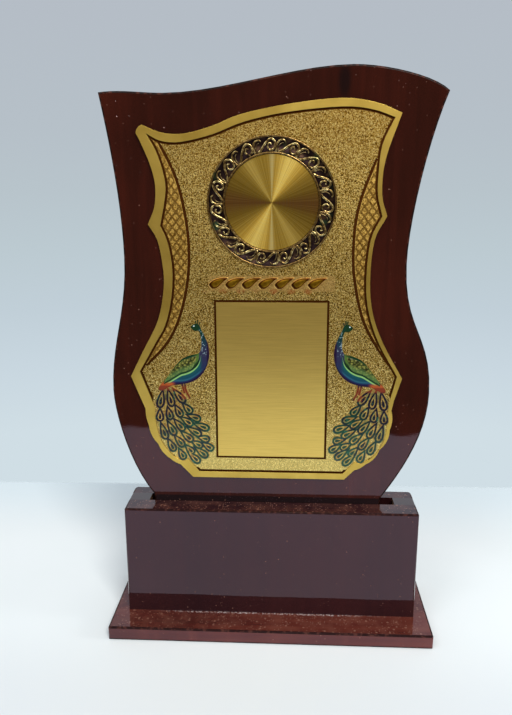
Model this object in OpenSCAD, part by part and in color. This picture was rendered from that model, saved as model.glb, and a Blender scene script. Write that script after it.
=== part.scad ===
// Wave-shaped wooden memento trophy: a shield board with an embossed gold plate,
// stood in a slotted block on a plinth. Millimetres, +Z up, the front faces -Y.
// The origin is the middle of the plinth's underside.

/* [Plinth] */
// Width of the plinth board
plinth_w = 180; // [172:1:200]
// Depth of the plinth board
plinth_d = 65; // [54:1:90]
// Thickness of the plinth board
plinth_t = 8; // [6:0.5:15]

/* [Block] */
// Width of the block
block_w = 164; // [154:1:172]
// Height of the block
block_h = 63.5; // [50:0.5:80]
// Thickness of the block's front board
front_board_t = 12; // [8:0.5:18]
// Thickness of the block's back board
back_board_t = 9; // [8:0.5:15]
// Radius of the block's two upright corners at the back
back_corner_r = 4; // [2:0.5:6]
// Softening of the other edges of block and plinth
edge_r = 1; // [0.5:0.1:1.5]

/* [Slot] */
// How deep the shield's foot goes into the block
slot_depth = 20; // [12:1:26]
// Free length of slot beside the shield's foot, at its nearer end
slot_end_play = 3; // [1:0.5:5]
// Room for glue between the shield's foot and the slot's two walls together
slot_play = 0.3; // [0.1:0.1:0.6]

/* [Shield board] */
// Width of the shield board over its two upper corners
shield_w = 176; // [168:1:184]
// Height of the shield board from its foot's shoulders to its crest
shield_h = 230; // [224:1:250]
// Thickness of the shield board
shield_t = 9; // [6:0.5:12]
// Width of the foot that stands in the slot
foot_w = 129; // [118:1:134]
// How far the foot sits left of the middle
foot_left = 2.5; // [0:0.5:4]
// Height of the foot's shoulders over the block
foot_gap = 3.5; // [1:0.5:6]
// Softening of the shield's edges
shield_edge_r = 1; // [0.4:0.1:1.4]

/* [Face plate] */
// Side margin of wood at the shield's widest point, mean of left and right
plate_side_margin = 14; // [12:0.5:18]
// Wood above the plate at the crest
plate_top_margin = 16; // [13:0.5:20]
// Wood below the plate, down to the foot's shoulders
plate_bottom_margin = 12; // [10:0.5:14]
// How far the plate sits left of the middle
plate_left = 3.5; // [0:0.5:4]
// Thickness of the plate's sheet
sheet_t = 1; // [0.6:0.1:1.5]
// Height of the polished rim over the sanded field
rim_raise = 0.5; // [0.3:0.1:0.8]
// Width of the pressed lines
groove_w = 0.9; // [0.6:0.1:1.2]
// Depth of the pressed lines
groove_depth = 0.4; // [0.2:0.05:0.5]
// Thickness of the double-sided tape behind the plate
tape_t = 0.5; // [0.2:0.1:1]
// Width of each strip of tape
tape_w = 18; // [10:1:24]
// Length of each strip of tape
tape_l = 120; // [80:5:140]

/* [Lattice bands] */
// Distance between the lattice's bars
lattice_pitch = 3.2; // [2.8:0.1:4.5]
// Width of a lattice bar
lattice_bar = 0.7; // [0.5:0.1:1]
// Height of the lattice over the field
lattice_raise = 0.25; // [0.15:0.05:0.4]

/* [Engraving panel] */
// Distance from the plate's side, at its widest, in to the blank panel
panel_inset = 44.5; // [43.5:0.5:49]
// Height of the panel's lower edge over the plate's lower edge
panel_lift = 13; // [11:0.5:14.5]
// Height of the panel over the field
panel_raise = 0.3; // [0.2:0.05:0.5]

/* [Row of leaves] */
// Number of leaves over the panel
leaf_count = 7; // [5:1:7]
// Distance from leaf to leaf
leaf_pitch = 8.7; // [8.2:0.1:9.2]
// Distance from the medallion's lower edge down to the middle of the row
leaf_drop = 8.35; // [7.5:0.1:9.5]
// Distance from the middle of the row down to the panel's upper edge
leaf_lift = 10; // [8.5:0.5:11]
// How far the row sits left of the middle
leaf_left = 2; // [0:0.2:3]
// Height of the leaves over the field
leaf_raise = 0.5; // [0.3:0.05:0.6]

/* [Medallion] */
// Outer diameter of the scroll ring
ring_d = 66.5; // [62:0.5:68]
// Diameter of the disc
disc_d = 48.2; // [44:0.2:49]
// Clearance between the disc and the ring, on the radius
disc_play = 0.15; // [0.1:0.05:0.3]
// Thickness of the disc
disc_t = 0.6; // [0.4:0.1:0.8]
// Thickness of the glue dot that holds the disc
disc_tape_t = 0.3; // [0.2:0.1:0.5]
// Height of the ring's two plain rims
ring_h = 1.4; // [1.2:0.1:2]
// Width of the ring's two plain rims
ring_rim_w = 0.9; // [0.7:0.1:1.2]
// Height of the scrolls over the ring's floor
scroll_raise = 0.6; // [0.3:0.1:0.8]
// Number of scrolls round the ring
scroll_count = 15; // [12:1:15]
// How far the ring is turned from one scroll standing upright
ring_turn = 1.5; // [0:0.5:20]
// Distance from the plate's crest down to the medallion's middle
medallion_drop = 50.4; // [48.4:0.5:51.4]

/* [Peacocks] */
// Height of each peacock, from its lowest feather to its crest
peacock_h = 83.4; // [80:0.2:84]
// Distance from the plate's side, at its widest, in to each peacock's breast
peacock_inset = 39.5; // [39:0.25:40]
// Clearance between the outer feathers and the plate's rim
tail_play = 0.6; // [0.4:0.1:0.8]
// Thickness of the figure's smooth ground
ground_t = 0.15; // [0.1:0.05:0.25]
// Height of the enamel over that ground
enamel_t = 0.3; // [0.2:0.05:0.5]
// Width of the enamel line round a feather
feather_line = 0.65; // [0.5:0.05:0.8]

/* [Screws] */
// Diameter of the two wood screws
screw_d = 3.5; // [3:0.5:4]
// Length of the screws
screw_l = 30; // [22:1:36]
// Distance between the screws
screw_spacing = 100; // [60:5:130]
// Diameter of a screw's head
screw_head_d = 7; // [6:0.5:8]
// Clearance round a screw, on the diameter
screw_play = 0.2; // [0.1:0.1:0.5]

/* [Hidden] */
$fn = 64;

// Colours, as the photo shows them
mahogany = "#451a16";
raw_board = "#9a7a55";
gold = "#b08f45";
dark_brass = "#4a3a3c";
spun_brass = "#a8893c";
enamel = "#1f6f6b";
steel = "#9a9c9e";
tape_white = "#dedad0";

// The block is three boards glued face to face; the middle one is notched for the foot
slot_board_t = shield_t + slot_play;
block_d = front_board_t + slot_board_t + back_board_t;
block_front = -block_d / 2;
slot_front = block_front + front_board_t;
slot_back = slot_front + slot_board_t;
block_top = plinth_t + block_h;
slot_floor = block_top - slot_depth;
slot_w = foot_w + 2 * (foot_left + slot_end_play);

// The shield's faces, and the height of its foot's shoulders
shield_front = slot_front + slot_play / 2;
shoulder_z = block_top + foot_gap;

// The curves below were drawn for a board and a plate of these sizes
drawn_board = [176, 230];
drawn_plate = [148, 202];
plate_w = shield_w - 2 * plate_side_margin;
plate_h = shield_h - plate_top_margin - plate_bottom_margin;
plate_z = shoulder_z + plate_bottom_margin;
field_level = tape_t + sheet_t;

// The plate's figures, from the crest down; the panel takes what height is left
medallion_z = plate_z + plate_h - medallion_drop;
leaf_z = medallion_z - ring_d / 2 - leaf_drop;
panel_z = plate_z + panel_lift;
panel_h = leaf_z - leaf_lift - panel_z;
panel_w = plate_w - 2 * panel_inset;
peacock_x = plate_w / 2 - peacock_inset;
drawn_peacock = 83.4;
ring_bore = disc_d + 2 * disc_play;

screw_y = (slot_front + slot_back) / 2;
pilot_d = screw_d + screw_play;
head_h = screw_head_d / 2 - screw_d / 2;

// ---- Curves -------------------------------------------------------------

// Points of a cubic curve from a to d, its end left out
function bezier(a, b, c, d, n = 10) =
    [for (i = [0 : n - 1]) let (t = i / n, s = 1 - t)
        s * s * s * a + 3 * s * s * t * b + 3 * s * t * t * c + t * t * t * d];

// A smooth run through the points p, its last point left out
function smooth(p, n = 4) =
    let (last = len(p) - 1)
    [for (i = [0 : last - 1])
        let (a = p[i], d = p[i + 1],
             from_a = (d - p[max(i - 1, 0)]) / (i == 0 ? 3 : 6),
             to_d = (p[min(i + 2, last)] - a) / (i == last - 1 ? 3 : 6))
        each bezier(a, a + from_a, d - to_d, d, n)];

// A shallow arc from a to b that stands out to the right by bulge, b left out
function bulge(a, b, out, n = 5) =
    let (along = b - a, side = [along.y, -along.x] / norm(along))
    [for (i = [0 : n - 1]) let (t = i / n) a + t * along + 4 * t * (1 - t) * out * side];

// The same outline, d further in on an anticlockwise outline
function inset(p, d) =
    let (n = len(p))
    [for (i = [0 : n - 1])
        let (u = p[i] - p[(i + n - 1) % n], v = p[(i + 1) % n] - p[i],
             nu = [-u.y, u.x] / norm(u), nv = [-v.y, v.x] / norm(v))
        p[i] + d * (nu + nv) / max(1 + nu * nv, 0.3)];

// A line of width w through the points p, w0 wide at its start and w1 at its end
function ribbon(p, w0, w1) =
    let (last = len(p) - 1,
         side = [for (i = [0 : last])
            let (v = p[min(i + 1, last)] - p[max(i - 1, 0)]) [-v.y, v.x] / norm(v)],
         half = [for (i = [0 : last]) (w0 + (w1 - w0) * i / last) / 2])
    concat([for (i = [0 : last]) p[i] + half[i] * side[i]],
           [for (i = [last : -1 : 0]) p[i] - half[i] * side[i]]);

// A drop with its point on the origin and its round end at length l along +X
function drop(l, w, n = 16) =
    [for (i = [0 : n - 1]) let (a = 360 * i / n)
        [l / 2 * (1 - cos(a)), w / 1.3 * sin(a) * sin(a / 2) ^ 1.6]];

function turned(p, a) = [for (q = p) [q.x * cos(a) - q.y * sin(a), q.x * sin(a) + q.y * cos(a)]];
function moved(p, v) = [for (q = p) q + v];

// ---- Outlines, seen from the front: x to the right, z up ----------------

function on_board(p) =
    [p.x * shield_w / drawn_board.x, shoulder_z + p.y * shield_h / drawn_board.y];
function on_plate(p) =
    [p.x * plate_w / drawn_plate.x - plate_left, plate_z + p.y * plate_h / drawn_plate.y];

foot_l = -foot_left - foot_w / 2;
foot_r = -foot_left + foot_w / 2;

// The shield: foot, right side upwards, wave of the top, left side downwards
function shield_outline() =
    let (corner_r = on_board([87.5, 217.5]), corner_l = on_board([-88, 218]),
         crest = on_board([40, 230]), dip = on_board([-55, 217.5]),
         waist_r = on_board([70.5, 132]), waist_l = on_board([-78.5, 135]),
         belly_r = on_board([86, 62]), belly_l = on_board([-88, 62]),
         shoulder_r = [foot_r, shoulder_z], shoulder_l = [foot_l, shoulder_z])
    concat(
        [[foot_l, slot_floor], [foot_r, slot_floor]],
        bezier(shoulder_r, on_board([76.5, 21]), on_board([86, 41]), belly_r),
        bezier(belly_r, on_board([86, 95]), on_board([70.5, 97]), waist_r),
        bezier(waist_r, on_board([70.5, 155]), on_board([79, 196]), corner_r),
        bezier(corner_r, on_board([80, 224.5]), on_board([56, 230]), crest),
        bezier(crest, on_board([11, 230]), on_board([-25, 217.5]), dip),
        bezier(dip, on_board([-66, 217.5]), on_board([-77, 219.5]), corner_l),
        bezier(corner_l, on_board([-83, 192]), on_board([-78.5, 162]), waist_l),
        bezier(waist_l, on_board([-78.5, 105]), on_board([-88, 89]), belly_l),
        bezier(belly_l, on_board([-88, 48]), on_board([-80, 16]), shoulder_l),
        [shoulder_l]);

// The plate's cut edge, from its lower right corner round and back
function plate_outline() =
    [for (p = concat(
        [[44.5, 0]],
        bulge([50, 5.7], [56, 9.2], 0.5),
        bulge([56, 9.2], [63.5, 18], 1.3),
        bulge([63.5, 18], [68.7, 29.8], 1.5),
        bulge([68.7, 29.8], [69.1, 40.8], 0.9),
        [[69.1, 40.8], [70.2, 46.5]],
        smooth([[74, 59], [63, 78.5], [57, 94.5], [55, 111.5], [56.5, 132.5], [62.5, 144.8]]),
        smooth([[62.5, 144.8], [59.5, 155.5], [60.5, 172.5], [67.8, 194.9]]),
        smooth([[67.8, 194.9], [55, 199.8], [38, 202], [12, 199.5], [-12, 194.8],
                [-26, 189.5], [-39, 186], [-48, 185.6], [-55, 187], [-62.3, 190.1]]),
        [[-62.3, 190.1], [-64, 189.2], [-65.2, 187.5]],
        smooth([[-65.5, 186], [-63.4, 182], [-58.7, 170.5], [-56.5, 160.5], [-57.3, 149.5],
                [-61, 140.7]]),
        smooth([[-61, 140.7], [-56.3, 132.5], [-54, 119.5], [-53.8, 107.5], [-57.5, 90],
                [-66.5, 72.5], [-73.5, 58.7]]),
        [[-73.5, 58.7]],
        bulge([-66.2, 40], [-64.7, 30.6], 0.5),
        bulge([-64.7, 30.6], [-59.8, 19.5], 1.1),
        bulge([-59.8, 19.5], [-53, 10.7], 1),
        bulge([-53, 10.7], [-47.6, 7.6], 0.4),
        [[-47.6, 7.6], [-40.5, 0]])) on_plate(p)];

// The edge of the sanded field, where the rim ends
field_left_side = smooth([[-60.5, 186.1], [-55.8, 177.8], [-52.5, 168], [-51.1, 159.5],
                          [-52.2, 151], [-54.6, 139.9]]);
field_left_waist = smooth([[-54.6, 139.9], [-51.3, 132.5], [-49.2, 121.5], [-49, 111.5],
                           [-50.4, 99.5], [-53.9, 87], [-59.3, 77.5], [-68.5, 61.5]]);
field_right_waist = smooth([[71.3, 60], [61, 78], [55, 94.5], [53, 111.5],
                            [54.5, 132.5], [60, 144.8]]);
field_right_side = smooth([[60, 144.8], [57.3, 155.5], [57.3, 167], [58.7, 180],
                           [64.5, 192.8]]);
function field_outline() =
    [for (p = concat(
        [[43.7, 3.5]],
        smooth([[49.7, 10.2], [56, 11], [61.5, 15.6], [65.8, 24], [67.5, 35], [67.3, 44]], 3),
        [[67.3, 44]],
        field_right_waist,
        field_right_side,
        smooth([[64.5, 192.8], [53.5, 196.5], [38.5, 198], [11.5, 195.7], [-10.5, 191.2],
                [-26.5, 185.3], [-42.5, 181.7], [-53, 182.3], [-60.5, 186.1]]),
        field_left_side,
        field_left_waist,
        [[-68.5, 61.5]],
        smooth([[-60.9, 41.2], [-60.8, 33], [-58.3, 22.5], [-54.4, 16], [-49, 11], [-43.3, 11.2]], 3),
        [[-43.3, 11.2], [-36.9, 3.5]])) on_plate(p)];

// The lines that part the lattice bands from the field
left_line = smooth([[-54.5, 182.7], [-45.6, 163.8], [-41, 142.5], [-39.9, 125.5],
                    [-41.6, 107.5], [-46.8, 89.1], [-54.5, 75.5], [-68.5, 61.5]]);
right_line = smooth([[71.3, 60], [58, 79], [51.1, 93.5], [47, 111.5], [45.8, 125.5],
                     [46.7, 142.5], [50.1, 157.1], [58.4, 178.5]]);
function left_band() =
    [for (p = concat(field_left_side, field_left_waist, [[-68.5, 61.5]],
                     [for (i = [len(left_line) - 1 : -1 : 0]) left_line[i]])) on_plate(p)];
function right_band() =
    [for (p = concat(right_line, [[58.4, 178.5]],
                     [for (i = [12 : -1 : 0]) field_right_side[i]],
                     [for (i = [len(field_right_waist) - 1 : -1 : 1]) field_right_waist[i]]))
        on_plate(p)];

// ---- Helpers ------------------------------------------------------------

// Raises a drawing off the shield: from level to level + t in front of its face
module raised(level, t) {
    translate([0, shield_front - level, 0]) rotate([90, 0, 0]) linear_extrude(t) children();
}

// A rectangle with round corners, r_front on its lower pair and r_back on its upper pair
module soft_rect(w, d, r_front, r_back) {
    difference() {
        square([w, d], center = true);
        for (sx = [-1, 1], sy = [-1, 1]) {
            r = sy < 0 ? r_front : r_back;
            translate([sx * (w / 2 - r), sy * (d / 2 - r)])
                difference() {
                    translate([min(0, sx) * r, min(0, sy) * r]) square(r);
                    circle(r);
                }
        }
    }
}

// A board with round edges all over, its lower face flat when foot is true
module soft_board(w, d, h, r_back, foot) {
    low = foot ? -2 * edge_r : 0;
    intersection() {
        linear_extrude(h) soft_rect(w, d, edge_r, r_back);
        translate([0, d / 2, (h + low) / 2]) rotate([90, 0, 0])
            linear_extrude(d) soft_rect(w, h - low, edge_r, edge_r);
        translate([-w / 2, 0, (h + low) / 2]) rotate([90, 0, 90])
            linear_extrude(w) soft_rect(d, h - low, edge_r, edge_r);
    }
}

// A face of the shield in convex pieces: its foot, rungs from side to side, and a fan from
// each upper end under the wave, which meet at its dip
function board_face(n) =
    let (side = 30, right = 2, left = n - 1, top_r = right + side - 1, top_l = left - side + 1,
         dip = top_r + 21)
    concat([[0, 1, right, left]],
           [for (k = [0 : side - 2]) [right + k, right + k + 1, left - k - 1, left - k]],
           [for (i = [top_r + 1 : dip - 1]) [top_r, i, i + 1]],
           [[top_r, dip, top_l]],
           [for (i = [dip : top_l - 2]) [top_l, i, i + 1]]);

// A flat board of the outline p, t thick from y upwards, with its edges rounded to r
module wave_board(p, y, t, r) {
    steps = 3;
    rings = concat(
        [for (i = [0 : steps]) let (a = 90 * i / steps) [r * (1 - sin(a)), r * (1 - cos(a))]],
        [for (i = [steps : -1 : 0]) let (a = 90 * i / steps) [r * (1 - sin(a)), t - r * (1 - cos(a))]]);
    n = len(p);
    m = len(rings);
    points = [for (k = rings) each [for (q = inset(p, k[0])) [q.x, y + k[1], q.y]]];
    sides = [for (j = [0 : m - 2], i = [0 : n - 1])
        [j * n + i, j * n + (i + 1) % n, (j + 1) * n + (i + 1) % n, (j + 1) * n + i]];
    front = [for (f = board_face(n)) [for (i = [len(f) - 1 : -1 : 0]) f[i]]];
    back = [for (f = board_face(n)) [for (i = f) (m - 1) * n + i]];
    polyhedron(points, concat(sides, front, back), convexity = 4);
}

// Puts a figure's drawing at the left peacock's breast, over the panel's foot
module at_breast() {
    translate([-peacock_x, panel_z]) scale(peacock_h / drawn_peacock) children();
}

// Puts its children at both screws
module at_screws() {
    for (s = [-1, 1]) translate([s * screw_spacing / 2, screw_y, 0]) children();
}

// ---- Base ---------------------------------------------------------------

module plinth() {
    color(mahogany) difference() {
        soft_board(plinth_w, plinth_d, plinth_t, edge_r, false);
        at_screws() {
            translate([0, 0, -1]) cylinder(h = plinth_t + 2, d = pilot_d);
            cylinder(h = head_h, d1 = screw_head_d + screw_play, d2 = pilot_d);
        }
    }
}

// The whole glued block, as it is sanded; each board is a slice of it
module block_form() {
    translate([0, 0, plinth_t]) soft_board(block_w, block_d, block_h, back_corner_r, true);
}

module slice(from_y, to_y) {
    intersection() {
        block_form();
        translate([-block_w, from_y, plinth_t]) cube([2 * block_w, to_y - from_y, block_h]);
    }
}

module base_front_board() {
    color(mahogany) slice(block_front, slot_front);
}

module base_slot_board() {
    color(raw_board) difference() {
        slice(slot_front, slot_back);
        translate([-slot_w / 2, slot_front - 1, slot_floor])
            cube([slot_w, slot_board_t + 2, slot_depth + 1]);
        at_screws() cylinder(h = screw_l + 1, d = pilot_d);
    }
}

module base_back_board() {
    color(mahogany) slice(slot_back, -block_front);
}

// Countersunk wood screws, driven up through the plinth into the middle board
module base_screws() {
    tip_h = 1.5 * screw_d;
    slot_l = 0.6 * screw_head_d;
    color(steel) at_screws() difference() {
        union() {
            cylinder(h = head_h, d1 = screw_head_d, d2 = screw_d);
            cylinder(h = screw_l - tip_h, d = screw_d);
            translate([0, 0, screw_l - tip_h]) cylinder(h = tip_h, d1 = screw_d, d2 = 0.4);
        }
        for (a = [0, 90]) rotate(a)
            cube([slot_l, screw_d / 4, 1.2 * head_h], center = true);
    }
}

// ---- Shield and plate ---------------------------------------------------

module shield_board() {
    color(mahogany) wave_board(shield_outline(), shield_front, shield_t, shield_edge_r);
}

module plate_tape() {
    color(tape_white) for (s = [-1, 1])
        raised(0, tape_t)
            translate([-plate_left + s * plate_w / 5, plate_z + plate_h / 2])
                square([tape_w, tape_l], center = true);
}

// One leaf of the row: round at its lower left, its point drawn out to the upper right;
// drawn for a pitch of drawn_leaf, its middle on the origin
drawn_leaf = 8.7;
leaf_line = smooth([[-3.7, -3.15], [-5.4, -1.1], [-4.6, 0.6], [-2.5, 2], [0.3, 2.9], [3.1, 3.2],
                    [5.5, 3.1], [3.7, 1.7], [1.9, 0], [0.2, -1.7], [-1.6, -2.9], [-3.7, -3.15]], 3);

module leaf_row() {
    for (i = [0 : leaf_count - 1])
        translate([(i - (leaf_count - 1) / 2) * leaf_pitch - leaf_left, leaf_z])
            polygon(leaf_line * leaf_pitch / drawn_leaf);
}

module panel_shape(more = 0) {
    translate([0, panel_z + panel_h / 2])
        square([panel_w + 2 * more, panel_h + 2 * more], center = true);
}

// Crossed bars, clipped to a band and clear of its lines
module lattice(band) {
    reach = plate_h / 2;
    rows = ceil(reach / lattice_pitch);
    clear = 1.2 * groove_w + lattice_bar / 4;
    offset(r = lattice_bar / 8, $fn = 8) intersection() {
        offset(r = -clear, $fn = 8) polygon(band);
        for (a = [-52, 52]) translate([band[0].x, plate_z + 0.6 * plate_h]) rotate(a)
            for (i = [-rows : rows])
                translate([-reach, (i + 0.5) * lattice_pitch - lattice_bar / 2])
                    square([2 * reach, lattice_bar]);
    }
}

module pressed_lines() {
    offset(r = groove_w / 10, $fn = 8) {
        difference() {
            polygon(field_outline());
            offset(delta = -groove_w) polygon(field_outline());
            tail_room(2 * groove_w);
        }
        intersection() {
            polygon(field_outline());
            for (line = [left_line, right_line])
                polygon(ribbon([for (p = line) on_plate(p)], groove_w, groove_w));
        }
        difference() {
            panel_shape(groove_w);
            panel_shape();
        }
    }
}

// Room in the rim for the outer feathers of both tails
module tail_room(more = 0) {
    for (s = [0, 1]) mirror([s, 0])
        offset(delta = tail_play + more)
            at_breast() drops(feather_w, -root_under, 0, 14, true);
}

module face_plate() {
    color(gold) union() {
        difference() {
            raised(tape_t, sheet_t) polygon(plate_outline());
            raised(field_level - groove_depth, groove_depth + 1) pressed_lines();
        }
        raised(field_level, rim_raise) difference() {
            polygon(plate_outline());
            polygon(field_outline());
            tail_room();
        }
        raised(field_level, panel_raise) panel_shape();
        raised(field_level, leaf_raise) leaf_row();
        raised(field_level, lattice_raise) {
            lattice(left_band());
            lattice(right_band());
        }
    }
}

// ---- Medallion ----------------------------------------------------------

ring_r = ring_d / 2;
bore_r = ring_bore / 2;
floor_in = bore_r + ring_rim_w;
floor_out = ring_r - ring_rim_w;
floor_w = floor_out - floor_in;
floor_h = ring_h - scroll_raise;
scroll_root = 0.1; // the scrolls are cast on, so they start this far inside the floor

// A drawn scroll point: x in pitches along the ring, y from 0 to 1 across its floor
function on_ring(p) =
    let (r = floor_in + p.y * floor_w, a = -p.x * 360 / scroll_count)
    [r * sin(-a), r * cos(a)];

// The strand rises from the inner rim, runs over and curls into an eye
scroll_strand = smooth([[-0.62, -0.05], [-0.4, 0.22], [-0.2, 0.62], [0.02, 0.9], [0.19, 0.66],
                        [0.16, 0.22], [-0.02, 0.1], [-0.13, 0.36], [-0.04, 0.6], [0.05, 0.5]]);
// The small leaf fills the gap before the next strand
scroll_leaf = smooth([[0.27, -0.05], [0.27, 0.45], [0.38, 0.78], [0.54, 0.86], [0.62, 0.74]]);

module scroll() {
    polygon(ribbon([for (p = scroll_strand) on_ring(p)], floor_w / 5, floor_w / 9));
    polygon(ribbon([for (p = scroll_leaf) on_ring(p)], floor_w / 5, floor_w / 12));
}

module medallion_ring() {
    color(dark_brass) translate([0, 0, medallion_z]) rotate([0, -ring_turn, 0]) {
        translate([0, shield_front - field_level, 0]) rotate([90, 0, 0])
            rotate_extrude($fn = 128) polygon([[bore_r, 0], [ring_r, 0], [ring_r, 0.8 * ring_h],
                [ring_r - ring_rim_w / 3, ring_h], [floor_out, ring_h - 0.1], [floor_out, floor_h],
                [floor_in, floor_h], [floor_in, ring_h - 0.1], [bore_r + ring_rim_w / 3, ring_h],
                [bore_r, 0.8 * ring_h]]);
        raised(field_level + floor_h - scroll_root, scroll_raise + scroll_root) offset(delta = 0.05) intersection() {
            difference() {
                circle(floor_out - 0.06, $fn = 90);
                circle(floor_in + 0.06, $fn = 90);
            }
            for (i = [0 : scroll_count - 1]) rotate(i * 360 / scroll_count) scroll();
        }
    }
}

module disc_tape() {
    color(tape_white) raised(field_level, disc_tape_t)
        translate([0, medallion_z]) circle(0.42 * disc_d);
}

module medallion_disc() {
    color(spun_brass) raised(field_level + disc_tape_t, disc_t)
        translate([0, medallion_z]) circle(disc_d / 2, $fn = 128);
}

// ---- Peacocks, drawn for the left one -----------------------------------

// Rows of the tail from the rump outwards: how many feathers, then the root of the first
// and of the last, then their tips; the origin is the breast at the panel's foot
TAIL = [[3, [-25.1, 38.6], [-19.8, 39.3], [-27.4, 27.6], [-13.1, 30.7]],
        [4, [-27.1, 27.7], [-14.7, 31], [-27.4, 19.8], [-9.3, 24.7]],
        [5, [-27.1, 19.5], [-12.7, 24.1], [-24.1, 9.2], [-4.4, 21]],
        [5, [-23.5, 10.1], [-9.2, 19.2], [-19.5, 2.1], [0.2, 15.5]],
        [4, [-17.5, 4.3], [-6.9, 11], [-14, -2.6], [0.4, 9.3]],
        [3, [-12.7, 2.5], [-4.7, 8], [-5.5, -4.5], [2.3, 3.4]]];
feather_w = 4.3;
root_under = 2;
sag = 0.8;

body_line = smooth([[-9.1, 73.5], [-7.4, 74.9], [-5.6, 75.2], [-4.1, 74.3], [-3.3, 72.3],
                    [-1.8, 69], [-0.2, 65.4], [0.6, 62], [0.8, 58.6], [0.3, 55], [-1.2, 50.5],
                    [-4.4, 45.9], [-9, 42.9], [-14.5, 41.5], [-20, 40.7], [-23, 39.2],
                    [-26.4, 37.8], [-27.3, 38.9], [-26, 41.3], [-22.8, 45.1], [-20.3, 48.6],
                    [-17.4, 52.3], [-14, 55.8], [-9.5, 57.9], [-5.7, 58.7], [-4.1, 59.9],
                    [-3.4, 62.5], [-3.3, 66.4], [-3.9, 70], [-4.8, 71.5], [-6.3, 71.3],
                    [-7.9, 72.1], [-9.1, 73.5]], 2);
wing_line = smooth([[-6, 57.5], [-12.8, 55.4], [-17.2, 52], [-21.3, 47.2], [-24.6, 41.6],
                    [-20.6, 42.3], [-15, 45.7], [-10.5, 48.6], [-7.4, 52.5], [-6, 57.5]], 3);
legs = [[[-13.1, 43.5], [-12.6, 39.1], [-11.8, 36.5], [-10.2, 33.4]],
        [[-14.7, 43.5], [-14, 39.3], [-13.2, 36.5]]];
crest = [[[-5.9, 74.6], [-6.2, 76.8]], [[-5.2, 74.6], [-5, 77.5]], [[-4.6, 74.2], [-3.7, 76.2]]];

// Each feather's root, lie and length, and whether it is one of the outer ones
function feathers() =
    [for (row = TAIL, i = [0 : row[0] - 1])
        let (t = i / (row[0] - 1),
             root = (1 - t) * row[1] + t * row[2],
             v = (1 - t) * row[3] + t * row[4] - root)
        [root, atan2(v.y, v.x), norm(v) + 4 * t * (1 - t) * sag, i == 0]];

// Drops on the feathers: w wide, with their points and round ends drawn back
module drops(w, point_back, end_back, n, outer = false) {
    for (f = feathers()) if (!outer || f[3])
        polygon(moved(turned(drop(f[2] - point_back - end_back, w, n), f[1]),
            f[0] + point_back * [cos(f[1]), sin(f[1])]));
}

module peacock_ground() {
    offset(r = 0.3, $fn = 8) {
        drops(feather_w + 0.4, -root_under, -0.2, 14);
        polygon(body_line);
        for (line = legs) polygon(ribbon(line, 0.6, 0.5));
        for (line = crest) polygon(ribbon(line, 0.3, 0.6));
    }
}

module feather_lines() {
    difference() {
        drops(feather_w, -0.3 * root_under, 0, 14);
        drops(feather_w - 2 * feather_line, 0.8 * feather_line, feather_line, 12);
    }
    for (f = feathers())
        polygon(moved(turned(drop(0.35 * f[2], 0.25 * feather_w, 8), f[1]),
            f[0] + 0.45 * f[2] * [cos(f[1]), sin(f[1])]));
}

module peacock_enamel() {
    offset(r = 0.05, $fn = 8) {
        feather_lines();
        polygon(body_line);
        for (line = legs) polygon(ribbon(line, 0.6, 0.5));
        for (line = crest) polygon(ribbon(line, 0.3, 0.6));
    }
}

module peacock() {
    raised(field_level, ground_t) at_breast() peacock_ground();
    raised(field_level + ground_t, enamel_t) at_breast() peacock_enamel();
    raised(field_level + ground_t + enamel_t, enamel_t / 2) at_breast() polygon(wing_line);
}

module peacock_left() {
    color(enamel) peacock();
}

module peacock_right() {
    color(enamel) mirror([1, 0, 0]) peacock();
}

plinth();
base_front_board();
base_slot_board();
base_back_board();
base_screws();
shield_board();
plate_tape();
face_plate();
medallion_ring();
disc_tape();
medallion_disc();
peacock_left();
peacock_right();
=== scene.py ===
# %% [markdown]
# # A wave-topped wooden memento trophy
#
# The object is a lacquered shield board with a pressed gold plate on it. The board's foot
# stands in a slotted block on a plinth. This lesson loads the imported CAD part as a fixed
# frame, dresses it piece by piece, and gives each surface its own procedural finish.
# Every length is in metres, +Z is up, and the front of the trophy faces -Y.

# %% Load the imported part
import math
from functools import partial

import bmesh
import bpy
from mathutils import Matrix, Vector
from mathutils.bvhtree import BVHTree


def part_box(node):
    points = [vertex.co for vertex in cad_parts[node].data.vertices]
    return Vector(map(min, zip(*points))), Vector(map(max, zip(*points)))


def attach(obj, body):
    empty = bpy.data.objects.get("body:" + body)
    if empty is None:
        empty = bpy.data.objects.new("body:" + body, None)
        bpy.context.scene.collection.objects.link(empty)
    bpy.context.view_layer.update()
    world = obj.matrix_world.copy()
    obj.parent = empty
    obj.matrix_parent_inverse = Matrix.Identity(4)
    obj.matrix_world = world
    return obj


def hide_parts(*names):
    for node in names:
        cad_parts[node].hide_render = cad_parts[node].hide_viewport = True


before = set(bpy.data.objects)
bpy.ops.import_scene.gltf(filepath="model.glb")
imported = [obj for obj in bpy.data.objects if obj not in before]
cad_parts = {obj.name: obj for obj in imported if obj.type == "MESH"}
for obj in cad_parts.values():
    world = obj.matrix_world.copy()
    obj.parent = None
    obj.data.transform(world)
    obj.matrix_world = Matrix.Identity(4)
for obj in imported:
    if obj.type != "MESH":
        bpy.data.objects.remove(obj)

for startup_thing in ("Cube", "Light", "Camera"):
    if startup_thing in bpy.data.objects and startup_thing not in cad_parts:
        bpy.data.objects.remove(bpy.data.objects[startup_thing], do_unlink=True)
bpy.context.view_layer.update()

# %% [markdown]
# ## The camera
#
# The photograph's view is settled first, because everything that is compared later depends
# on it. The values below were fitted to corners of the block, plinth, panel and medallion.
# The aim alone meets the points, so the lens needs no shift.

# %% Make the camera
W, H = 512, 715
L = max(W, H)
camera_lens = 34.66
camera_sensor = 36.0
camera_place = Vector((0.01012, -0.36623, 0.24430))
camera_turn_left = math.radians(2.913)
camera_tilt = math.radians(-13.570)
camera_roll = math.radians(0.124)

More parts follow.
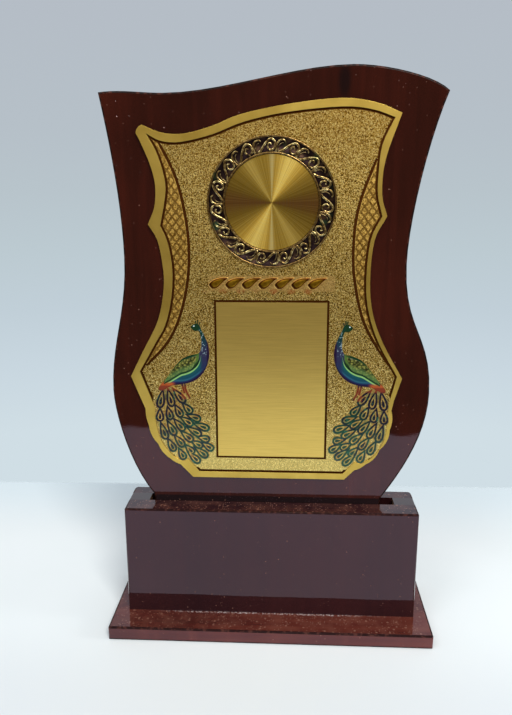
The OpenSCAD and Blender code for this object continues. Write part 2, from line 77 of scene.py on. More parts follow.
aim = (Matrix.Rotation(camera_turn_left, 3, "Z") @ Matrix.Rotation(camera_tilt, 3, "X")
       @ Matrix.Rotation(camera_roll, 3, "Y"))
camera_right, camera_ahead, camera_up = aim.col[0], aim.col[1], aim.col[2]
camera_axes = Matrix((camera_right, camera_up, -camera_ahead)).transposed()
camera = bpy.data.objects.new("camera", bpy.data.cameras.new("camera"))
camera.data.sensor_fit = "AUTO"
camera.data.sensor_width = camera_sensor
camera.data.lens = camera_lens
camera.data.clip_start = 0.01
camera.matrix_world = Matrix.Translation(camera_place) @ camera_axes.to_4x4()
bpy.context.scene.collection.objects.link(camera)
bpy.context.scene.camera = camera
bpy.context.scene.view_settings.view_transform = "Standard"


def in_picture(point):
    """The picture's x and y, in pixels, of a place in the frame."""
    away = camera_axes.transposed() @ (Vector(point) - camera_place)
    scale = L * camera_lens / camera_sensor / -away.z
    return W / 2 + away.x * scale, H / 2 - away.y * scale


print("camera at", tuple(round(v, 4) for v in camera_place), "lens", camera_lens)

# %% [markdown]
# ## Stage and light
#
# The trophy stood on a white table in a pale room, with soft light from overhead. The floor
# here is a pale sheet that fades out behind the trophy, and the world carries the grey-blue
# of the wall. The room in front of the trophy was dim, and the lacquer and the gold
# mirror that, so the world is darker on that side for glossy rays alone.

# %% Node helpers
# The node tree that the helpers work in.
tree = None


def finish_of(name):
    """Starts a material, in whose tree the helpers then work: (material, its Principled shader)."""
    global tree
    made = bpy.data.materials.new(name)
    made.use_nodes = True
    tree = made.node_tree
    return made, tree.nodes["Principled BSDF"]


def put(socket, value):
    """Links a socket to another, or sets its value."""
    if isinstance(value, bpy.types.NodeSocket):
        tree.links.new(value, socket)
    else:
        socket.default_value = value


def fill_in(made, **inputs):
    """Fills a node's inputs by name, an underscore standing for each space."""
    for key, value in inputs.items():
        put(made.inputs[key.replace("_", " ")], value)


def node(kind, settings=None, **inputs):
    """Adds a shader node, sets it up, and fills its inputs."""
    made = tree.nodes.new("ShaderNode" + kind)
    for key, value in (settings or {}).items():
        setattr(made, key, value)
    fill_in(made, **inputs)
    return made


def reckoned(operation, a, b=0.0, clamp=False):
    """One Math node."""
    made = node("Math", {"operation": operation, "use_clamp": clamp})
    put(made.inputs[0], a)
    put(made.inputs[1], b)
    return made.outputs[0]


# Plain names for the Math node's operations; size_of is a value's size without its sign.
plus, minus, times, parted, size_of, is_over, is_under, larger = (
    partial(reckoned, operation) for operation in
    ("ADD", "SUBTRACT", "MULTIPLY", "DIVIDE", "ABSOLUTE", "GREATER_THAN", "LESS_THAN", "MAXIMUM"))


def fade(value, start, end):
    """0 at start and 1 at end, smooth between them, whichever of the two is the lower."""
    rising = start < end
    made = node("MapRange", {"interpolation_type": "SMOOTHSTEP"}, Value=value,
                From_Min=min(start, end), From_Max=max(start, end),
                To_Min=0.0 if rising else 1.0, To_Max=1.0 if rising else 0.0)
    return made.outputs["Result"]


def paint(colour):
    """A colour from a paint chart, 0 to 255, made linear; a socket stays as it is."""
    if isinstance(colour, bpy.types.NodeSocket):
        return colour
    shares = [v / 255 for v in colour]
    return [v / 12.92 if v <= 0.04045 else ((v + 0.055) / 1.055) ** 2.4 for v in shares] + [1.0]


def blend(share, a, b, how="MIX"):
    """Mixes two colours."""
    made = node("Mix", {"data_type": "RGBA", "blend_type": how})
    for socket, value in ((0, share), (6, paint(a)), (7, paint(b))):
        put(made.inputs[socket], value)
    return made.outputs[2]


def ramp(value, *stops):
    """A colour ramp through (position, colour) stops."""
    made = node("ValToRGB", Fac=value)
    elements = made.color_ramp.elements
    while len(elements) < len(stops):
        elements.new(0.5)
    for element, (position, colour) in zip(elements, stops):
        element.position = position
        element.color = paint(colour)
    return made.outputs["Color"]


def places(scale=(1, 1, 1), move=(0, 0, 0)):
    """Object coordinates, moved and scaled by a Mapping node."""
    source = node("TexCoord").outputs["Object"]
    if (scale, move) == ((1, 1, 1), (0, 0, 0)):
        return source
    return node("Mapping", Vector=source, Location=move, Scale=scale).outputs["Vector"]


def apart(vector):
    """The X, Y and Z of a vector."""
    return node("SeparateXYZ", Vector=vector).outputs[:]


def together(x, z=0.0):
    """A vector of X and Z."""
    return node("CombineXYZ", X=x, Z=z).outputs[0]


def noise(vector, scale, detail=2.0, roughness=0.5, distortion=0.0):
    """Soft noise from 0 to 1."""
    return node("TexNoise", Vector=vector, Scale=scale, Detail=detail, Roughness=roughness,
                Distortion=distortion).outputs["Fac"]


def cells(vector, scale):
    return node("TexVoronoi", Vector=vector, Scale=scale)


def curve(value, first, last, low, high, *stops):
    """A smooth curve through (x, y) stops, for x from first to last and y from low to high."""
    made = node("FloatCurve", Value=parted(minus(value, first), last - first, clamp=True))
    run = made.mapping.curves[0].points
    while len(run) < len(stops):
        run.new(0.5, 0.5)
    for dot, (x, y) in zip(run, stops):
        dot.location = ((x - first) / (last - first), (y - low) / (high - low))
    made.mapping.update()
    return plus(low, times(made.outputs["Value"], high - low))


def spot_at(x, z, wide, tall):
    """1 at a place on the front and 0 outside an oval of that width and height."""
    here = places(scale=(2 / wide, 0, 2 / tall))
    away = node("VectorMath", {"operation": "DISTANCE"}, Vector=here)
    put(away.inputs[1], (2 * x / wide, 0, 2 * z / tall))
    return fade(away.outputs["Value"], 1.0, 0.35)


def length_of(vector):
    return node("VectorMath", {"operation": "LENGTH"}, Vector=vector).outputs["Value"]


def bumps(height, distance, strength=1.0, under=None):
    """A normal that a height tilts, on top of another."""
    made = node("Bump", Height=height, Distance=distance, Strength=strength)
    if under is not None:
        put(made.inputs["Normal"], under)
    return made.outputs["Normal"]


print("helpers ready")

# %% The pale floor
# The sheet's far edge runs a little askew, as in the photograph, and fades out at its end.
floor_wide = 1.8
floor_back = 0.183
floor_front = -0.325
floor_skew = 0.018
floor_fade = 0.004
floor_drop = 0.00002
bm = bmesh.new()
bmesh.ops.create_grid(bm, x_segments=8, y_segments=8, size=0.5)
bmesh.ops.scale(bm, vec=(floor_wide, (floor_back - floor_front), 1), verts=bm.verts)
bmesh.ops.translate(bm, vec=(0, (floor_back + floor_front) / 2, -floor_drop), verts=bm.verts)
for v in bm.verts:
    v.co.y += floor_skew * v.co.x
floor_mesh = bpy.data.meshes.new("floor")
bm.to_mesh(floor_mesh)
bm.free()
floor = bpy.data.objects.new("floor", floor_mesh)
bpy.context.scene.collection.objects.link(floor)

paper, shader = finish_of("white_table")
across, back, _ = apart(places())
fill_in(shader, Roughness=0.6, Specular_IOR_Level=0.2)
paper_white = ramp(noise(places(), 9, 3), (0.3, (231, 237, 237)), (0.7, (235, 240, 240)))
# Painted shade: the sheet is darker and bluer towards its far edge, and darker towards the front.
paper_white = blend(fade(back, 0.075, 0.18), paper_white, (222, 234, 238))
paper_white = blend(fade(back, 0.0, -0.09), paper_white, (218, 224, 227))
put(shader.inputs["Base Color"], paper_white)
along = minus(back, times(across, floor_skew))
sheet_end = node("MixShader", Fac=fade(along, floor_back - floor_fade, floor_back))
put(sheet_end.inputs[1], shader.outputs[0])
put(sheet_end.inputs[2], node("BsdfTransparent").outputs[0])
put(tree.nodes["Material Output"].inputs["Surface"], sheet_end.outputs[0])
floor.data.materials.append(paper)
print("floor from y", floor_front, "to", floor_back)

# %% The room's light
world = bpy.data.worlds.new("room")
bpy.context.scene.world = world
world.use_nodes = True
tree = world.node_tree
ray = node("LightPath").outputs
ray_aside, ray_back, ray_up = apart(node("TexCoord").outputs["Generated"])
wall = ramp(plus(ray_up, 0.5),
            (0.11, (208, 222, 229)), (0.18, (208, 222, 229)), (0.26, (201, 215, 224)),
            (0.34, (193, 207, 216)), (0.42, (188, 202, 209)), (0.5, (184, 196, 203)),
            (0.58, (182, 192, 200)), (0.72, (181, 189, 198)))
ceiling = ramp(ray_up, (0.0, (120, 112, 104)), (0.25, (190, 184, 172)), (0.45, (246, 242, 232)))
level = times(fade(ray_up, 0.26, 0.16), fade(ray_up, -0.6, -0.42))
dim_room = blend(fade(size_of(ray_aside), 0.27, 0.45), (84, 74, 64), (160, 150, 138))
mirrored = blend(level, ceiling, dim_room)
in_gloss = blend(fade(ray_back, -0.15, 0.35), mirrored, wall)
ambient = (190, 194, 200)
seen = blend(ray["Is Glossy Ray"], ambient, in_gloss)
seen = blend(ray["Is Camera Ray"], seen, wall)
fill_in(tree.nodes["Background"], Color=seen, Strength=1.0)

trophy_middle = Vector((0, 0, 0.17))


def lamp(name, side, height, front, width, depth, power, colour=(1, 1, 1)):
    """A soft rectangular light that faces the trophy's middle."""
    light = bpy.data.lights.new(name, "AREA")
    light.shape = "RECTANGLE"
    light.size, light.size_y, light.energy, light.color = width, depth, power, colour
    made = bpy.data.objects.new(name, light)
    made.location = (side, -front, height)
    towards = trophy_middle - Vector(made.location)
    made.rotation_euler = towards.to_track_quat("-Z", "Y").to_euler()
    bpy.context.scene.collection.objects.link(made)
    return made


key = lamp("key", 0.45, 1.25, 1.15, 0.5, 0.5, 20.0, (1.0, 0.98, 0.95))
fill = lamp("fill", -0.65, 1.3, 0.9, 0.5, 0.5, 5.0, (0.95, 0.98, 1.0))
window = lamp("window", 1.2, 0.5, 0.1, 0.3, 0.2, 3.0, (0.97, 0.99, 1.0))
window.visible_glossy = False
for light in (key, fill, window):
    light.visible_camera = False
print("lamps:", [light.data.energy for light in (key, fill, window)], "W")

# %% [markdown]
# ## Lacquered wood
#
# The boards are mahogany-stained wood under a thick glossy lacquer, so the photograph shows
# two things at once: a dark red-brown with faint upright streaks, and a sharp, weak mirror
# image of the table and the dim room. A dark base under a clear coat does both. A few dust
# specks and a very slight waviness stop the lacquer from looking like glass.

# %% Wood finish
shoulder_rise = 0.0035
dust_line = 0.0004
dark_patch_place = (0.0357, 0.2975)
coarse_share = 1 / 6
looks_up = 0.8
# The two sizes of dust speck: cells to a metre, reach, and the share of cells left without
# one, on an upright face and on a flat top.
dust_sizes = ((420, 0.13, 0.93, 0.8), (900, 0.17, 0.97, 0.72))


def lacquered(name, dark, middle, light, streak=(190, 190, 5), foot=None, dull=0.0, joint=None):
    """Stained wood under gloss lacquer, dusty along a joint, with painted shade that makes it nearly
    black below the height foot.
    """
    made, shader = finish_of(name)
    here = places()
    across, back, high = apart(here)
    fine = noise(places(scale=streak), 1.0, 4, 0.6, 0.4)
    broad = noise(places(scale=tuple(v * coarse_share for v in streak)), 1.0, 2)
    cloud = noise(here, 14, 3)
    grain = plus(plus(times(fine, 0.3), times(broad, 0.3)), times(cloud, 0.4))
    wood = ramp(grain, (0.38, dark), (0.5, middle), (0.62, light))
    figure = noise(places(scale=(60, 60, 12)), 1.0, 2, 0.5, 0.6)
    wood = blend(times(fade(figure, 0.52, 0.72), 0.6), wood, light)
    if foot is not None:
        # A dark patch near the crest of the shield.
        dark_patch = spot_at(*dark_patch_place, 0.0085, 0.022)
        wood = blend(times(dark_patch, 0.8), wood, (16, 8, 8))
        # Painted shade: below the shoulder, the board's foot is darkened nearly to black.
        wood = blend(fade(high, foot + 0.0004, foot - 0.0003), wood, (12, 4, 3))
    flat_on_top = is_over(apart(node("NewGeometry").outputs["Normal"])[2], looks_up)
    speck = None
    for scale, size, few, top_few in dust_sizes:
        dust = cells(here, scale)
        pick = node("SeparateColor", Color=dust.outputs["Color"]).outputs[0]
        bar = minus(few, times(flat_on_top, few - top_few))
        reach = plus(size, times(flat_on_top, 0.15))
        spot = times(is_under(dust.outputs["Distance"], reach), is_over(pick, bar))
        speck = spot if speck is None else larger(speck, spot)
    film = times(flat_on_top, fade(noise(here, 130, 4), 0.35, 0.7))
    wood = blend(times(film, 0.22), wood, (132, 84, 68))
    wood = blend(times(speck, 0.5), wood, (146, 104, 86))
    if joint is not None:
        off = size_of(minus(back, joint))
        lint = times(fade(off, 0.0013, 0.0003), fade(noise(here, 900, 3, 0.7), 0.5, 0.58))
        middle_only = fade(size_of(across), 0.07, 0.03)
        wood = blend(times(lint, middle_only), wood, (190, 176, 172))
    ripple = bumps(noise(here, 24, 2), 0.0003)
    grainy = bumps(noise(here, 1400, 1), 0.000012, 0.25, ripple)
    lacquer_face = bumps(speck, 0.00005, 0.5, grainy)
    fill_in(shader, Base_Color=wood, Normal=lacquer_face, Coat_Normal=lacquer_face,
            Roughness=0.045 + dull, Specular_Tint=(1.0, 0.3, 0.9, 1.0), Specular_IOR_Level=0.2,
            Coat_Weight=0.85, Coat_IOR=1.5, Coat_Roughness=0.03 + dull)
    return made


def worn_edge(name, dark, chip):
    """The softened edges, where the lacquer pulled thin and chipped."""
    made, shader = finish_of(name)
    chips = noise(places(), 420, 3, 0.6)
    fill_in(shader, Base_Color=ramp(chips, (0.5, dark), (0.64, chip)), Roughness=0.4,
            Specular_IOR_Level=0.1, Normal=bumps(chips, 0.0002, 0.6))
    return made


shoulder_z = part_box("base_front_board")[1].z + shoulder_rise
shield_wood = lacquered("mahogany_lacquer", (34, 11, 5), (43, 14, 7), (56, 19, 10), foot=shoulder_z)
block_wood = lacquered("block_lacquer", (34, 13, 15), (39, 15, 16), (45, 18, 18))
block_foot_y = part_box("base_front_board")[0].y - dust_line
plinth_wood = lacquered("plinth_lacquer", (62, 25, 18), (76, 30, 22), (96, 44, 32),
                        streak=(9, 220, 220), dull=0.02, joint=block_foot_y)
shield_edge = worn_edge("shield_edge", (22, 8, 6), (72, 36, 26))
block_edge = worn_edge("block_edge", (34, 14, 14), (76, 42, 36))
print("wood finishes:", shield_wood.name, block_wood.name, plinth_wood.name)

# %% [markdown]
# A CAD node is left alone, because its triangles are the frame that everything is checked
# against. For a lacquered board, a merged copy is shaded smooth round its softened edges and
# stands for the node, so that the gloss runs round an edge instead of breaking into facets.

# %% Merged copies of the boards
merge_reach = 1e-6
# Limits on the share of a face's normal that lies along an axis: at least straight for one
# that looks along it, below upright for a wall, and above a lean for a softened edge.
straight = 0.9995
upright = 0.2
front_lean = 0.1
top_lean = 0.05


def merged_copy(source):
    """A bmesh of a CAD node with its loose triangles merged."""
    bm = bmesh.new()
    bm.from_mesh(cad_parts[source].data)
    bm.transform(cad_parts[source].matrix_world)
    bmesh.ops.remove_doubles(bm, verts=bm.verts, dist=merge_reach)
    return bm


def finished(bm, name, *materials):
    """Turns a bmesh into a piece at the origin."""
    mesh = bpy.data.meshes.new(name)
    bm.to_mesh(mesh)
    bm.free()
    if "custom_normal" in mesh.attributes:
        mesh.attributes.remove(mesh.attributes["custom_normal"])
    for material in materials:
        mesh.materials.append(material)
    piece = bpy.data.objects.new(name, mesh)
    bpy.context.scene.collection.objects.link(piece)
    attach(piece, "root")
    return piece


def flat_ways(normal):
    """Whether a face looks straight along one of the three axes."""
    return max(abs(v) for v in normal) > straight


def is_wall(face):
    """Whether a face stands square to the front."""
    return abs(face.normal.y) < upright


def softened(bm, edges, wide, segments=2):
    """Rounds edges by a small bevel."""
    bmesh.ops.bevel(bm, geom=edges, offset=wide, offset_type="OFFSET", segments=segments,
                    profile=0.5, affect="EDGES", clamp_overlap=True, material=-1)


def walls_moved(bm, chosen, wide):
    """Moves the corners of walls outwards, where chosen(face, corner); says how many they are."""
    sides = {}
    for face in filter(is_wall, bm.faces):
        for v in face.verts:
            if chosen(face, v):
                sides[v] = sides.get(v, Vector()) + Vector((face.normal.x, 0, face.normal.z))
    for v, way in sides.items():
        if way.length > 0.3:
            v.co += way.normalized() * wide
    return len(sides)


boards = {"plinth": (plinth_wood, block_edge), "base_front_board": (block_wood, block_edge),
          "base_back_board": (block_wood, block_edge), "shield_board": (shield_wood, shield_edge)}
board_pieces = {}
for board, woods in boards.items():
    bm = merged_copy(board)
    for face in bm.faces:
        if board == "shield_board":
            face.smooth = abs(face.normal.y) < straight
            face.material_index = int(front_lean < abs(face.normal.y) < straight)
        else:
            face.smooth = not flat_ways(face.normal)
            face.material_index = int(face.smooth and abs(face.normal.z) > top_lean)
    piece = finished(bm, "lacquered_" + board, *woods)
    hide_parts(board)
    board_pieces[board] = piece
    print(board, len(piece.data.polygons), "faces")

# %% [markdown]
# The middle board of the block is stained and lacquered only where it shows, and its sawn
# slot is bare. Its CAD shape is right, so the node stays and takes a finish of its own.
# So do the screws and the tape, which nobody sees but which are really there.

# %% Middle board, screws and tape
def carried(name, material):
    """Gives a CAD node that stays a finish, on its own material slot."""
    for part_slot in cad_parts[name].material_slots:
        part_slot.material = material


# The stain reaches half a millimetre in from the board's ends and 0.2 mm down from its top.
stained_side = 0.0815
stained_top = 0.0713

slot_wood, shader = finish_of("slot_board_wood")
across, _, high = apart(places())
stained = larger(is_over(size_of(across), stained_side), is_over(high, stained_top))
grain = noise(places(scale=(12, 300, 300)), 1.0, 4, 0.6, 0.4)
bare = ramp(grain, (0.35, (120, 84, 56)), (0.65, (166, 124, 84)))
dark = ramp(grain, (0.35, (36, 14, 15)), (0.65, (46, 19, 19)))
fill_in(shader, Base_Color=blend(stained, bare, dark), Roughness=minus(0.75, times(stained, 0.68)),
        Coat_Weight=0.85, Coat_Roughness=0.05, Normal=bumps(grain, 0.00005, 0.4))
carried("base_slot_board", slot_wood)

zinc, shader = finish_of("zinc_steel")
spangle = cells(places(), 900).outputs["Distance"]
fill_in(shader, Base_Color=blend(spangle, (176, 180, 182), (140, 145, 150)), Metallic=1.0,
        Roughness=fade(noise(places(), 500), -1.2, 2.2))
carried("base_screws", zinc)

foam_tape, shader = finish_of("foam_tape")
fibres = noise(places(), 1500, 4)
fill_in(shader, Base_Color=ramp(fibres, (0.3, (198, 194, 184)), (0.7, (226, 222, 212))),
        Roughness=0.8, Normal=bumps(fibres, 0.0001, 0.5))
for strip in ("plate_tape", "disc_tape"):
    carried(strip, foam_tape)
print("carried over: base_slot_board, base_screws, plate_tape, disc_tape")

# %% [markdown]
# ## The pressed gold plate
#
# The plate is one thin sheet, pressed in a die: a smooth rim, a sanded field, grooves painted
# dark brown as painted shade, a band of diamond lattice on each side, a satin panel left blank
# for engraving and a row of seven leaves. The CAD shape has all of these levels, so a merged
# copy keeps them, and the finish reads how far out each surface stands. Only the leaves are
# remodelled: real pressed leaves are domed.

# %% Levels of the plate
ring_low, ring_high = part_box("medallion_ring")
ring_middle = (ring_low + ring_high) / 2
field_y = ring_high.y
rim_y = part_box("face_plate")[0].y
print("field at y", round(field_y, 5), "rim at y", round(rim_y, 5))
lattice_y = field_y - 0.00025
panel_y = field_y - 0.0003
leaf_top = ring_low.z - 0.0045
leaf_foot = ring_low.z - 0.0122
panel_gap = 0.010
panel_half = 0.0295
panel_foot = 0.100
panel_head = (leaf_top + leaf_foot) / 2 - panel_gap

# %% Plate copy, with the leaves taken out of it
ahead = -0.99
sharp_angle = 0.8
a_hair = 1e-5
groove_spread = 0.00022
bar_round = 0.00011
rim_round = 0.00016
least_bar_edge = 0.00015
least_rim_edge = 0.0002


def front_faces(bm, level, lowest, highest, side=1.0):
    """Faces that look straight forward at one depth, inside a band of heights."""
    middles = {f: f.calc_center_median() for f in bm.faces if f.normal.y < ahead}
    return [f for f, at in middles.items()
            if abs(at.y - level) < 3e-5 and lowest < at.z < highest and abs(at.x) < side]


bm = merged_copy("face_plate")
leaf_parts = front_faces(bm, rim_y, leaf_foot - 0.001, leaf_top + 0.001, 0.04)
leaf_faces = bmesh.ops.dissolve_faces(bm, faces=leaf_parts)["region"]
print("leaves found:", len(leaf_faces))
leaf_bm = bmesh.new()
for face in leaf_faces:
    corners = [leaf_bm.verts.new(v.co) for v in face.verts]
    leaf_bm.faces.new(corners)
leaf_corners = list({v for f in leaf_faces for v in f.verts})
bmesh.ops.translate(bm, vec=(0, field_y - rim_y, 0), verts=leaf_corners)
bmesh.ops.remove_doubles(bm, verts=bm.verts, dist=2e-6)
groove_corners = walls_moved(
    bm, lambda face, _: all(v.co.y > field_y - a_hair for v in face.verts), -groove_spread)
print("groove corners moved:", groove_corners)
bars = [f for f in bm.faces if is_wall(f)
        and all(lattice_y - a_hair < v.co.y < field_y + a_hair for v in f.verts)]
pits, edge_of = set(), list(bars)
while edge_of:
    neighbours = {f for e in edge_of.pop().edges for f in e.link_faces}
    for face in neighbours - pits:
        if face.normal.y < ahead and abs(face.calc_center_median().y - field_y) < a_hair:
            pits.add(face)
            edge_of.append(face)
for face in pits:
    face.material_index = 1
print("lattice walls:", len(bars), "faces between the bars:", len(pits))
bar_edges = [e for e in bm.edges if len(e.link_faces) == 2
             and all(panel_y - a_hair < v.co.y < lattice_y + a_hair for v in e.verts)
             and sum(map(is_wall, e.link_faces)) == 1 and e.calc_length() > least_bar_edge]
softened(bm, bar_edges, bar_round)
rim_edges = [e for e in bm.edges if len(e.link_faces) == 2
             and all(abs(v.co.y - rim_y) < 2e-5 for v in e.verts)
             and e.calc_face_angle(0) > sharp_angle and e.calc_length() > least_rim_edge]
softened(bm, rim_edges, rim_round)
for face in bm.faces:
    face.smooth = not (flat_ways(face.normal) or is_wall(face))
print("edges softened:", len(rim_edges) + len(bar_edges))
plate_bm = bm

# %% [markdown]
# The finish of the plate picks each zone by its depth: grooves lie under the field, the
# lattice and the panel stand a little proud of it, and the rim and the leaves stand highest.
# The sanded field is a fine, worm-like noise that drives both the height and the colour. The
# lattice's bars are dark, and the metal between them, a finish of its own, stays bright. The
# plate grows brighter towards its foot in the photograph, so the shading of its lower half is
# tilted a few degrees, and the field's colour carries painted shade near the top and painted
# light near the foot.

# %% Gold finish
gold_plate, shader = finish_of("gold_plate")
here = places()
across, depth, high = apart(here)
in_groove = fade(depth, field_y + 0.00012, field_y + 0.00026)
above_field = fade(depth, field_y - 0.00006, field_y - 0.00014)
on_rim = fade(depth, panel_y - 0.00004, panel_y - 0.0001)
panel_slack = 0.0002
inside_x = is_under(size_of(across), panel_half + panel_slack)
inside_z = times(is_over(high, panel_foot - panel_slack), is_under(high, panel_head + panel_slack))
raised_zone = times(above_field, minus(1.0, on_rim))
on_panel = times(raised_zone, times(inside_x, inside_z))
sanded = minus(1.0, above_field)

worms = noise(here, 1750, 1.0, 0.5, 1.2)
worm_height = fade(worms, 0.4, 0.6)
blotch = noise(here, 60, 3)
field_gold = ramp(worms, (0.38, (70, 42, 8)), (0.46, (150, 112, 40)), (0.54, (202, 166, 76)),
                  (0.62, (255, 236, 160)))
row_heights = times(fade(high, leaf_foot - 0.0006, leaf_foot),
                    fade(high, leaf_top + 0.0006, leaf_top))
leaf_row = times(fade(size_of(across), 0.034, 0.0325), row_heights)
# The field is lightened in the row of leaves. Painted shade darkens it towards the top of the plate,
# and painted light brightens it towards the foot.
for share, shade in ((times(leaf_row, 0.6), (214, 174, 104)),
                     (times(fade(high, 0.235, 0.285), 0.45), (112, 78, 20)),
                     (times(fade(high, 0.13, 0.098), 0.5), (255, 232, 140))):
    field_gold = blend(share, field_gold, shade)
brushed = noise(places(scale=(60, 60, 4200)), 1.0, 3, 0.6)
panel_gold = ramp(brushed, (0.25, (220, 186, 96)), (0.75, (244, 212, 116)))
rim_gold = ramp(blotch, (0.3, (198, 166, 76)), (0.7, (226, 194, 96)))
lattice_gold = ramp(worms, (0.42, (128, 92, 34)), (0.58, (188, 150, 76)))
colour = field_gold
# The grooves are painted dark brown, as painted shade.
for zone, gold in ((above_field, lattice_gold), (on_panel, panel_gold), (on_rim, rim_gold),
                   (in_groove, (74, 40, 14))):
    colour = blend(zone, colour, gold)
# Painted reddish reflections under the row of leaves: how far across, and how strong.
leaf_reflections = ((-0.0350, 0.2), (-0.0258, 0.6), (-0.0163, 0.65), (-0.0083, 0.25), (0.0009, 0.85),
          (0.0103, 0.7), (0.0191, 0.75))
reflection_noise = noise(here, 700, 2)
for x, much in leaf_reflections:
    place = spot_at(x, leaf_foot - 0.0004, 0.0062, 0.0036)
    reflection_share = times(place, times(fade(reflection_noise, 0.3, 0.55), much * 0.75))
    colour = blend(reflection_share, colour, (186, 76, 28))
# Below this height the shading tilts, ever more towards the foot.
tilt_starts = 0.215
tilt_scale = 0.33
below_start = larger(minus(tilt_starts, high), 0.0)
tilted = bumps(times(times(below_start, below_start), -1.0), tilt_scale)
sand = bumps(times(worm_height, sanded), 0.00003, 0.85, tilted)
brush_marks = bumps(times(brushed, on_panel), 0.00003, 0.5, sand)
rough = plus(0.38, times(on_panel, -0.02))
fill_in(shader, Base_Color=colour, Metallic=1.0, Roughness=plus(rough, times(in_groove, 0.2)),
        Normal=brush_marks)

pit_gold, shader = finish_of("lattice_pits")
pit = noise(places(), 1500, 2)
fill_in(shader, Base_Color=ramp(pit, (0.35, (140, 104, 40)), (0.65, (236, 198, 106))),
        Metallic=1.0, Roughness=0.5, Normal=bumps(pit, 0.00005, 0.6))

plate = finished(plate_bm, "pressed_plate", gold_plate, pit_gold)
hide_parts("face_plate")
print("plate:", len(plate.data.polygons), "faces")

# %% [markdown]
# Each leaf starts as the flat outline that was lifted from the plate. Extruding it and
# drawing each new ring in towards its middle gives a low dome with a soft shoulder, which
# catches light on its upper left and falls dark on its lower right.

# %% Domed leaves
# Each step's share of the last ring's size, and its rise.
leaf_steps = [(0.94, 0.00030), (0.74, 0.00026), (0.42, 0.00012)]
dome_rise = sum(rise for _, rise in leaf_steps)
along_leaf = leaf_bm.verts.layers.float.new("along_leaf")
tops = list(leaf_bm.faces)
bmesh.ops.recalc_face_normals(leaf_bm, faces=tops)
for face in tops:
    if face.normal.y > 0:
        face.normal_flip()
bmesh.ops.translate(leaf_bm, vec=(0, field_y - rim_y, 0), verts=leaf_bm.verts)
for top in tops:
    current = top
    middle = current.calc_center_median()
    left = min(v.co.x for v in current.verts)
    wide = max(v.co.x for v in current.verts) - left
    for v in current.verts:
        v[along_leaf] = (v.co.x - left) / wide
    for share, rise in leaf_steps:
        grown = bmesh.ops.extrude_discrete_faces(leaf_bm, faces=[current])
        current = grown["faces"][0]
        bmesh.ops.translate(leaf_bm, vec=(0, -rise, 0), verts=current.verts)
        bmesh.ops.scale(leaf_bm, vec=(share, 1, share), space=Matrix.Translation(-middle),
                        verts=current.verts)
        for v in current.verts:
            v[along_leaf] = (v.co.x - left) / wide
bmesh.ops.remove_doubles(leaf_bm, verts=leaf_bm.verts, dist=1e-6)
for face in leaf_bm.faces:
    face.smooth = True

leaf_gold, shader = finish_of("leaf_gold")
rise = parted(minus(field_y, apart(places())[1]), dome_rise, clamp=True)
along = node("Attribute", {"attribute_name": "along_leaf"}).outputs["Fac"]
olive = ramp(noise(places(), 700, 2), (0.35, (164, 120, 24)), (0.65, (200, 156, 44)))
# Painted highlight and shade: each leaf has a pale band at its foot, a dark brown shoulder, and an
# olive top that darkens towards its right end.
inside = blend(fade(along, 0.45, 0.85), olive, (66, 30, 8))
colour = blend(fade(rise, 0.42, 0.5), (236, 196, 116), (70, 34, 10))
colour = blend(fade(rise, 0.78, 0.9), colour, inside)
fill_in(shader, Base_Color=colour, Metallic=1.0, Roughness=0.3)
leaves = finished(leaf_bm, "pressed_leaves", leaf_gold)
print("leaves:", len(leaves.data.polygons), "faces")

# %% [markdown]
# ## The medallion
#
# A cast ring of fifteen scrolls frames a spun brass disc. The ring was blackened and then
# wiped, so its floor stays purple-black and its strands shine. The two plain rims and the
# floor are one turned profile, spun once round. One scroll is a tapering strand that is
# extruded ring by ring along its path, and the others are copies of it, spun round.

# %% Turned profiles
disc_low, disc_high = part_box("medallion_disc")
disc_radius = (disc_high.x - disc_low.x) / 2
r_in = disc_radius + 0.00015
r_out = (ring_high.x - ring_low.x) / 2
rim_wide = 0.0009
ring_top = ring_low.y
ring_floor = ring_top + 0.0006


def turned(profile, middle, steps):
    """Spins (radius, y) points once round the medallion's axis."""
    bm = bmesh.new()
    dots = [bm.verts.new((middle.x + r, y, middle.z)) for r, y in profile]
    for a, b in zip(dots, dots[1:]):
        bm.edges.new((a, b))
    bmesh.ops.spin(bm, geom=bm.verts[:] + bm.edges[:], cent=(middle.x, 0, middle.z),
                   axis=(0, 1, 0), dvec=(0, 0, 0), angle=2 * math.pi, steps=steps, use_merge=True)
    bmesh.ops.remove_doubles(bm, verts=bm.verts, dist=2e-6)
    bmesh.ops.recalc_face_normals(bm, faces=bm.faces)
    for face in bm.faces:
        face.smooth = True
    return bm


axis = Vector((ring_middle.x, 0, ring_middle.z))
# A rim's section: how far in from the ring's outer edge, or out from its bore, and how deep.
rim_section = [(0, 0.0003), (0.00012, 0.00006), (0.00035, 0), (0.0007, 0.00005), (rim_wide, 0.0002)]
outer_rim = [(r_out - inset, ring_top + deep) for inset, deep in rim_section]
inner_rim = [(r_in + inset, ring_top + deep) for inset, deep in reversed(rim_section)]
rim_foot = rim_wide + 0.0001
ring_profile = [(r_in, field_y), (r_out, field_y), *outer_rim, (r_out - rim_foot, ring_floor),
                (r_in + rim_foot, ring_floor), *inner_rim, (r_in, field_y)]
ring_bm = turned(ring_profile, axis, 144)
print("ring radius", round(r_out, 5), "bore", round(r_in, 5), "faces", len(ring_bm.faces))

# %% Scroll strands
scroll_count = 15
first_scroll = math.radians(91.5)
floor_in = r_in + rim_wide
floor_out = r_out - rim_wide


def on_ring(along, across, lift=0.0):
    """A place on the ring's floor: along in scrolls, clockwise, and across from 0 to 1."""
    turn = first_scroll - along * 2 * math.pi / scroll_count
    radius = floor_in + across * (floor_out - floor_in)
    return axis + Vector((radius * math.cos(turn), ring_floor - lift, radius * math.sin(turn)))


